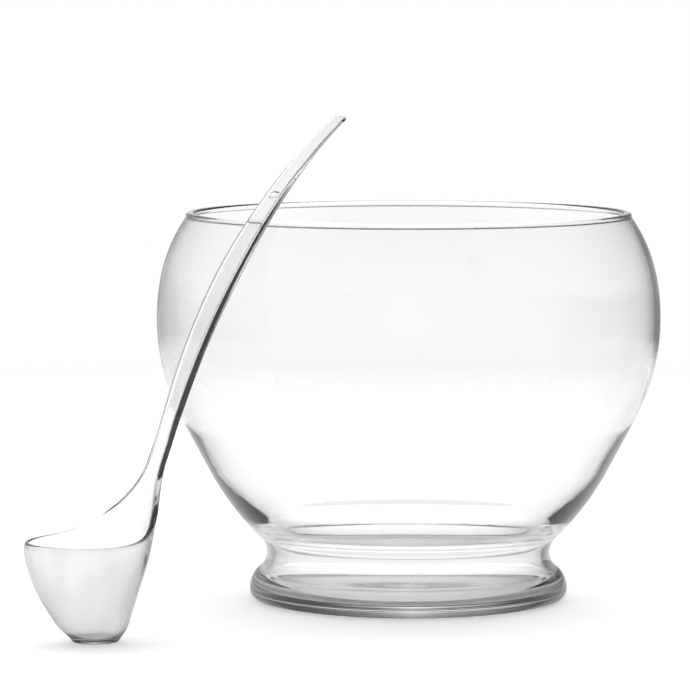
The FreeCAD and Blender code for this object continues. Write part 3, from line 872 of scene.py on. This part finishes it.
RIPPLE_DEPTH = 0.0001  # metres
MARKS = (0.5, 0.75)  # span of the noise over which handling marks come up
STREAK_MIDDLE = 0.5  # the noise at which the cup's grey is even
EVEN_GREY = 0.75  # share of the cup's tint there


def fade(tree, value, span, start, end):
    """Change smoothly from one number to another over a span of a value."""
    node = add_node(tree, "ShaderNodeMapRange", interpolation_type="SMOOTHSTEP")
    names = ("Value", "From Min", "From Max", "To Min", "To Max")
    for name, number in zip(names, (value, *span, start, end)):
        feed(tree, node.inputs[name], number)
    return node.outputs[0]


def mix_colours(tree, factor, first, second):
    """Mix two plain colours by a value and give the colour."""
    node = add_node(tree, "ShaderNodeMix", data_type="RGBA")
    shown = {socket.identifier: socket for socket in node.inputs}
    shown["A_Color"].default_value = (*first, 1.0)
    shown["B_Color"].default_value = (*second, 1.0)
    tree.links.new(factor, shown["Factor_Float"])
    return next(socket for socket in node.outputs if socket.identifier == "Result_Color")


def surface_group():
    """Build the node group for a moulded surface: slow ripples, small waves and handling marks."""
    tree = bpy.data.node_groups.new("MouldedSurface", "ShaderNodeTree")
    face = tree.interface
    face.new_socket("Coordinate", in_out="INPUT", socket_type="NodeSocketVector")
    for name in ("Ripple Scale", "Wave Scale", "Wave Share", "Mark Scale", "Clean", "Marked"):
        face.new_socket(name, in_out="INPUT", socket_type="NodeSocketFloat")
    face.new_socket("Height", in_out="OUTPUT", socket_type="NodeSocketFloat")
    face.new_socket("Roughness", in_out="OUTPUT", socket_type="NodeSocketFloat")
    given = tree.nodes.new("NodeGroupInput").outputs
    result = tree.nodes.new("NodeGroupOutput").inputs

    def noise(scale, detail):
        node = tree.nodes.new("ShaderNodeTexNoise")
        node.inputs["Detail"].default_value = detail
        tree.links.new(given["Coordinate"], node.inputs["Vector"])
        tree.links.new(given[scale], node.inputs["Scale"])
        return node.outputs[0]

    waves = maths(tree, "MULTIPLY", noise("Wave Scale", 1.0), given["Wave Share"])
    tree.links.new(maths(tree, "ADD", noise("Ripple Scale", 0.0), waves), result["Height"])
    marks = fade(tree, noise("Mark Scale", 4.0), MARKS, given["Clean"], given["Marked"])
    tree.links.new(marks, result["Roughness"])
    return tree


def clear_material(name, colour, ior, stretch, values):
    """Make a clear material with a moulded surface."""
    material = bpy.data.materials.new(name)
    material.use_nodes = True
    tree = material.node_tree
    shader = tree.nodes["Principled BSDF"]
    shader.inputs["Base Color"].default_value = (*colour, 1.0)
    shader.inputs["IOR"].default_value = ior
    shader.inputs["Transmission Weight"].default_value = 1.0
    place = tree.nodes.new("ShaderNodeTexCoord")
    mapping = tree.nodes.new("ShaderNodeMapping")
    mapping.inputs["Scale"].default_value = stretch
    surface = tree.nodes.new("ShaderNodeGroup")
    surface.name = "Surface"
    surface.node_tree = bpy.data.node_groups.get("MouldedSurface") or surface_group()
    bump = tree.nodes.new("ShaderNodeBump")
    bump.inputs["Distance"].default_value = RIPPLE_DEPTH
    for socket, value in values.items():
        surface.inputs[socket].default_value = value
    tree.links.new(place.outputs["Object"], mapping.inputs["Vector"])
    tree.links.new(mapping.outputs[0], surface.inputs["Coordinate"])
    tree.links.new(surface.outputs["Height"], bump.inputs["Height"])
    tree.links.new(bump.outputs[0], shader.inputs["Normal"])
    tree.links.new(surface.outputs["Roughness"], shader.inputs["Roughness"])
    return material


def glass_material(finish):
    """Make the bowl's glass."""
    values = {
        "Ripple Scale": 24.0,
        "Wave Scale": 90.0,
        "Wave Share": 0.1,
        "Mark Scale": 30.0,
        "Clean": 0.0,
        "Marked": 0.01,
    }
    stretch = (1.0, 1.0, 1.6)
    return clear_material("ClearGlass", finish.glass_colour, finish.glass_ior, stretch, values)


def plastic_material(finish):
    """Make the ladle's clear plastic, which is greyer in streaks and hazy on the cup."""
    values = {
        "Ripple Scale": 70.0,
        "Wave Scale": 210.0,
        "Wave Share": 0.2,
        "Mark Scale": 60.0,
        "Clean": 0.0,
        "Marked": 0.02,
    }
    stretch = (1.0, 1.0, 0.45)
    material = clear_material(
        "ClearPlastic", finish.handle_colour, finish.plastic_ior, stretch, values
    )
    tree = material.node_tree
    shader = tree.nodes["Principled BSDF"]
    surface = tree.nodes["Surface"]
    place = tree.nodes.new("ShaderNodeTexCoord")
    split = tree.nodes.new("ShaderNodeSeparateXYZ")
    tree.links.new(place.outputs["Object"], split.inputs[0])
    # The cup's base colour goes greyer than the handle's below the haze's start, in noise streaks,
    # and its roughness rises there too.
    greyed = fade(tree, split.outputs["Z"], (finish.haze_start, finish.haze_end), 1.0, 0.0)
    noise = maths(tree, "SUBTRACT", surface.outputs["Height"], STREAK_MIDDLE)
    streaks = maths(tree, "ADD", maths(tree, "MULTIPLY", noise, finish.cup_streaks), EVEN_GREY)
    patchy = maths(tree, "MULTIPLY", greyed, streaks)
    colour = mix_colours(tree, patchy, finish.handle_colour, finish.cup_colour)
    tree.links.new(colour, shader.inputs["Base Color"])
    haze = maths(tree, "MULTIPLY", greyed, finish.cup_haze)
    roughness = maths(tree, "ADD", surface.outputs["Roughness"], haze)
    tree.links.new(roughness, shader.inputs["Roughness"])
    return material


# ---------------------------------------------------------------- the studio

# Brightness of the studio by direction, in degrees: round from straight behind the bowl to the
# right, and up from level. The low ring is what the glass mirrors from below the horizon.
BEHIND_UP = ((-90, 1.0), (0, 1.0), (14, 1.0), (26, 0.35), (42, 0.08), (72, 0.08), (90, 0.3))
HIGH_ROUND = (
    (-180, 0.75),
    (-130, 0.7),
    (-100, 0.8),
    (-80, 0.95),
    (-48, 0.75),
    (-30, 0.6),
    (-10, 0.6),
    (-3, 0.9),
    (0, 1.0),
    (3, 0.8),
    (10, 0.45),
    (30, 0.15),
    (55, 0.05),
    (72, 0.1),
    (87, 0.3),
    (100, 0.45),
    (130, 0.7),
    (180, 0.75),
)
LOW_ROUND = (
    (-180, 0.8),
    (-60, 0.7),
    (-20, 0.5),
    (-6, 0.5),
    (0, 0.9),
    (6, 0.5),
    (20, 0.25),
    (31, 0.15),
    (45, 0.5),
    (60, 0.7),
    (180, 0.8),
)
LOW_TO_HIGH = ((-90, 0.0), (-8, 0.0), (14, 1.0), (90, 1.0))

# How much of that light is left when it is mirrored inside the glass, by the same directions.
INSIDE_ROUND = (
    (-180, 1.0),
    (-106, 0.7),
    (-92, 0.03),
    (-44, 0.03),
    (-32, 0.6),
    (-15, 1.0),
    (180, 1.0),
)
INSIDE_UP = ((-90, 1.0), (0, 1.0), (14, 0.9), (28, 0.45), (42, 0.15), (90, 0.2))

# Brightness of the soft light above and behind, by the angle from its middle.
SOFT_LIGHT = ((0, 2.4), (30, 1.9), (55, 0.52), (90, 0.12), (180, 0.0))

FLOOR_SPREAD = 1.5  # the floor's half width, as a share of the distance where it has faded
FADE_START = 0.5  # where the fading begins, as a share of the same distance
FLOOR_GAP = 0.0003  # metres between the floor and what stands on it


def ramp(tree, value, stops):
    """Add a ramp that gives a brightness for a value in degrees."""
    low, high = stops[0][0], stops[-1][0]
    share_up = maths(tree, "DIVIDE", maths(tree, "SUBTRACT", value, low), high - low)
    node = tree.nodes.new("ShaderNodeValToRGB")
    tree.links.new(share_up, node.inputs[0])
    elements = node.color_ramp.elements
    while len(elements) > 1:
        elements.remove(elements[-1])
    for i, (place, bright) in enumerate(stops):
        at = (place - low) / (high - low)
        element = elements[0] if i == 0 else elements.new(at)
        element.position = at
        element.color = (bright, bright, bright, 1.0)
    return node.outputs[0]


def mix(tree, factor, first, second):
    """Mix two brightnesses."""
    node = add_node(tree, "ShaderNodeMix", data_type="FLOAT")
    for socket, value in ((0, factor), (2, first), (3, second)):
        feed(tree, node.inputs[socket], value)
    return node.outputs[0]


def once(tree, depth):
    """Give 1 where the light path's count of one kind of bounce is above 0."""
    return maths(tree, "GREATER_THAN", depth, 0.5)


def surroundings(tree, round_by, up_by, path, look):
    """Give the brightness that the glass shows: through it, mirrored on it or inside it."""
    through = maths(tree, "MULTIPLY", ramp(tree, up_by, BEHIND_UP), look.surround)
    low, high = ramp(tree, round_by, LOW_ROUND), ramp(tree, round_by, HIGH_ROUND)
    gloss = mix(tree, ramp(tree, up_by, LOW_TO_HIGH), low, high)
    left = maths(tree, "MULTIPLY", ramp(tree, round_by, INSIDE_ROUND), ramp(tree, up_by, INSIDE_UP))
    inside = once(tree, path["Transmission Depth"])
    gloss = maths(tree, "MULTIPLY", gloss, mix(tree, inside, 1.0, left))
    return mix(tree, once(tree, path["Glossy Depth"]), through, gloss)


def soft_light(tree, y, z, degrees, look):
    """Give the brightness of the soft light above and behind, which the floor is lit by."""
    lengthwise = maths(tree, "MULTIPLY", y, math.cos(look.light_height))
    upwards = maths(tree, "MULTIPLY", z, math.sin(look.light_height))
    away = maths(tree, "ARCCOSINE", maths(tree, "ADD", lengthwise, upwards))
    away = maths(tree, "MULTIPLY", away, degrees)
    return maths(tree, "MULTIPLY", ramp(tree, away, SOFT_LIGHT), look.fill)


def make_world(look):
    """Light the studio from all round, white where the camera sees it."""
    world = bpy.data.worlds.new("Studio")
    bpy.context.scene.world = world
    world.use_nodes = True
    tree = world.node_tree
    background = tree.nodes["Background"]
    background.inputs["Color"].default_value = (1.0, 1.0, 1.0, 1.0)
    direction = tree.nodes.new("ShaderNodeTexCoord")
    split = tree.nodes.new("ShaderNodeSeparateXYZ")
    tree.links.new(direction.outputs["Generated"], split.inputs[0])
    x, y, z = split.outputs
    degrees = math.degrees(1)
    round_by = maths(tree, "MULTIPLY", maths(tree, "ARCTAN2", x, y), degrees)
    up_by = maths(tree, "MULTIPLY", maths(tree, "ARCSINE", z), degrees)
    path = tree.nodes.new("ShaderNodeLightPath").outputs
    shown = surroundings(tree, round_by, up_by, path, look)
    scattered = once(tree, path["Diffuse Depth"])
    strength = mix(tree, scattered, shown, soft_light(tree, y, z, degrees, look))
    strength = mix(tree, path["Is Camera Ray"], strength, 1.0)
    tree.links.new(strength, background.inputs["Strength"])


def floor_material(look):
    """Make the pale floor's material, which fades out far from the set."""
    material = bpy.data.materials.new("PaleFloor")
    material.use_nodes = True
    tree = material.node_tree
    shader = tree.nodes["Principled BSDF"]
    shader.inputs["Roughness"].default_value = 1.0
    shader.inputs["Specular IOR Level"].default_value = 0.0
    shader.inputs["Emission Color"].default_value = (1.0, 1.0, 1.0, 1.0)
    place = tree.nodes.new("ShaderNodeTexCoord")
    distance = add_node(tree, "ShaderNodeVectorMath", operation="LENGTH")
    tree.links.new(place.outputs["Object"], distance.inputs[0])
    span = (look.floor_fade * FADE_START, look.floor_fade)
    alpha = fade(tree, distance.outputs["Value"], span, 1.0, 0.0)
    tree.links.new(alpha, shader.inputs["Alpha"])

    path = tree.nodes.new("ShaderNodeLightPath").outputs
    # Painted shade: the floor's base colour is darker where the glass mirrors it, which darkens the
    # bands that the glass mirrors.
    mirrored = once(tree, path["Glossy Depth"])
    colour = mix_colours(tree, mirrored, look.floor_colour, look.mirrored_floor_shade)
    tree.links.new(colour, shader.inputs["Base Color"])
    through = maths(tree, "MULTIPLY", path["Is Transmission Ray"], look.floor_through)
    seen = maths(tree, "MAXIMUM", path["Is Camera Ray"], through)
    unscattered = maths(tree, "SUBTRACT", 1.0, once(tree, path["Diffuse Depth"]))
    unmirrored = maths(tree, "SUBTRACT", 1.0, mirrored)
    straight = maths(tree, "MULTIPLY", unscattered, unmirrored)
    glow = maths(tree, "MULTIPLY", maths(tree, "MULTIPLY", seen, straight), look.floor_glow)
    tree.links.new(glow, shader.inputs["Emission Strength"])
    return material


def make_floor(look):
    """Lay the pale floor just under the bowl; it fades into the white far from the set."""
    half = look.floor_fade * FLOOR_SPREAD
    mesh = bpy.data.meshes.new("studio_floor")
    corners = [(-half, -half), (half, -half), (half, half), (-half, half)]
    mesh.from_pydata([(x, y, -FLOOR_GAP) for x, y in corners], [], [(0, 1, 2, 3)])
    mesh.materials.append(floor_material(look))
    floor = bpy.data.objects.new("studio_floor", mesh)
    bpy.context.scene.collection.objects.link(floor)


def make_camera(look):
    """Set up the camera in front of the bowl."""
    camera = bpy.data.cameras.new("front_camera")
    camera.lens = look.lens
    camera.sensor_width = 36.0
    camera.clip_end = 50.0
    holder = bpy.data.objects.new("front_camera", camera)
    holder.location = (look.camera_aside, -look.camera_back, look.camera_height)
    holder.rotation_euler = (math.pi / 2 - look.camera_pitch, 0.0, 0.0)
    bpy.context.scene.collection.objects.link(holder)
    bpy.context.scene.camera = holder


# ---------------------------------------------------------------- the add-on


class PunchBowlSettings(bpy.types.PropertyGroup):
    """Everything about the set that a user may change."""

    outside: PointerProperty(name="Outside", description="The bowl's outside", type=OutsideSizes)
    inside: PointerProperty(name="Inside", description="The bowl's inside", type=InsideSizes)
    bowl: PointerProperty(name="Bowl", description="The bowl's other sizes", type=BowlSizes)
    ladle: PointerProperty(name="Ladle", description="The ladle's sizes", type=LadleSizes)
    finish: PointerProperty(name="Finish", description="Glass and plastic", type=GlassFinish)
    stage: PointerProperty(name="Stage", description="Floor, light and camera", type=StageLook)


class PUNCHBOWL_OT_bowl(bpy.types.Operator):
    """Turn the bowl's glass wall, foot and rim in one piece."""

    bl_idname = "punchbowl.bowl"
    bl_label = "Make Bowl"

    def execute(self, context):
        settings = context.scene.punch_bowl
        points = bowl_outline(settings.outside, settings.inside, settings.bowl)
        glass = glass_material(settings.finish)
        piece = turn_outline("bowl_wall", points, settings.bowl.steps_round, glass)
        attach(piece, "bowl")
        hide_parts("bowl")
        return {"FINISHED"}


class PUNCHBOWL_OT_ladle(bpy.types.Operator):
    """Shape the ladle's cup, neck and handle in one piece."""

    bl_idname = "punchbowl.ladle"
    bl_label = "Make Ladle"

    def execute(self, context):
        settings = context.scene.punch_bowl
        piece = make_ladle(settings.ladle, plastic_material(settings.finish))
        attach(piece, "ladle")
        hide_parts("ladle")
        return {"FINISHED"}


class PUNCHBOWL_OT_stage(bpy.types.Operator):
    """Lay the floor, light the studio and set up the camera."""

    bl_idname = "punchbowl.stage"
    bl_label = "Make Stage"

    def execute(self, context):
        look = context.scene.punch_bowl.stage
        make_floor(look)
        make_world(look)
        make_camera(look)
        context.scene.view_settings.view_transform = "Standard"
        context.scene.cycles.glossy_bounces = look.gloss_bounces
        context.scene.cycles.transmission_bounces = look.glass_bounces
        context.scene.cycles.max_bounces = look.glass_bounces + look.gloss_bounces
        return {"FINISHED"}


class PUNCHBOWL_PT_panel(bpy.types.Panel):
    """The buttons and sizes of the punch bowl set."""

    bl_idname = "PUNCHBOWL_PT_panel"
    bl_label = "Punch Bowl"
    bl_space_type = "VIEW_3D"
    bl_region_type = "UI"
    bl_category = "Punch Bowl"

    def draw(self, context):
        layout = self.layout
        settings = context.scene.punch_bowl
        for operator in (PUNCHBOWL_OT_bowl, PUNCHBOWL_OT_ladle, PUNCHBOWL_OT_stage):
            layout.operator(operator.bl_idname)
        for name in ("outside", "inside", "bowl", "ladle", "finish", "stage"):
            group = getattr(settings, name)
            box = layout.box()
            box.label(text=name.capitalize())
            for key in group.__annotations__:
                box.prop(group, key)


CLASSES = (
    OutsideSizes,
    InsideSizes,
    BowlSizes,
    LadleSizes,
    GlassFinish,
    StageLook,
    PunchBowlSettings,
    PUNCHBOWL_OT_bowl,
    PUNCHBOWL_OT_ladle,
    PUNCHBOWL_OT_stage,
    PUNCHBOWL_PT_panel,
)


def register():
    """Register the classes and keep the settings on the scene."""
    for item in CLASSES:
        bpy.utils.register_class(item)
    bpy.types.Scene.punch_bowl = PointerProperty(type=PunchBowlSettings)


def unregister():
    """Take the settings off the scene and unregister the classes."""
    del bpy.types.Scene.punch_bowl
    for item in reversed(CLASSES):
        bpy.utils.unregister_class(item)


def main():
    """Make the whole set."""
    register()
    bpy.ops.punchbowl.bowl()
    bpy.ops.punchbowl.ladle()
    bpy.ops.punchbowl.stage()


if __name__ == "__main__":
    main()
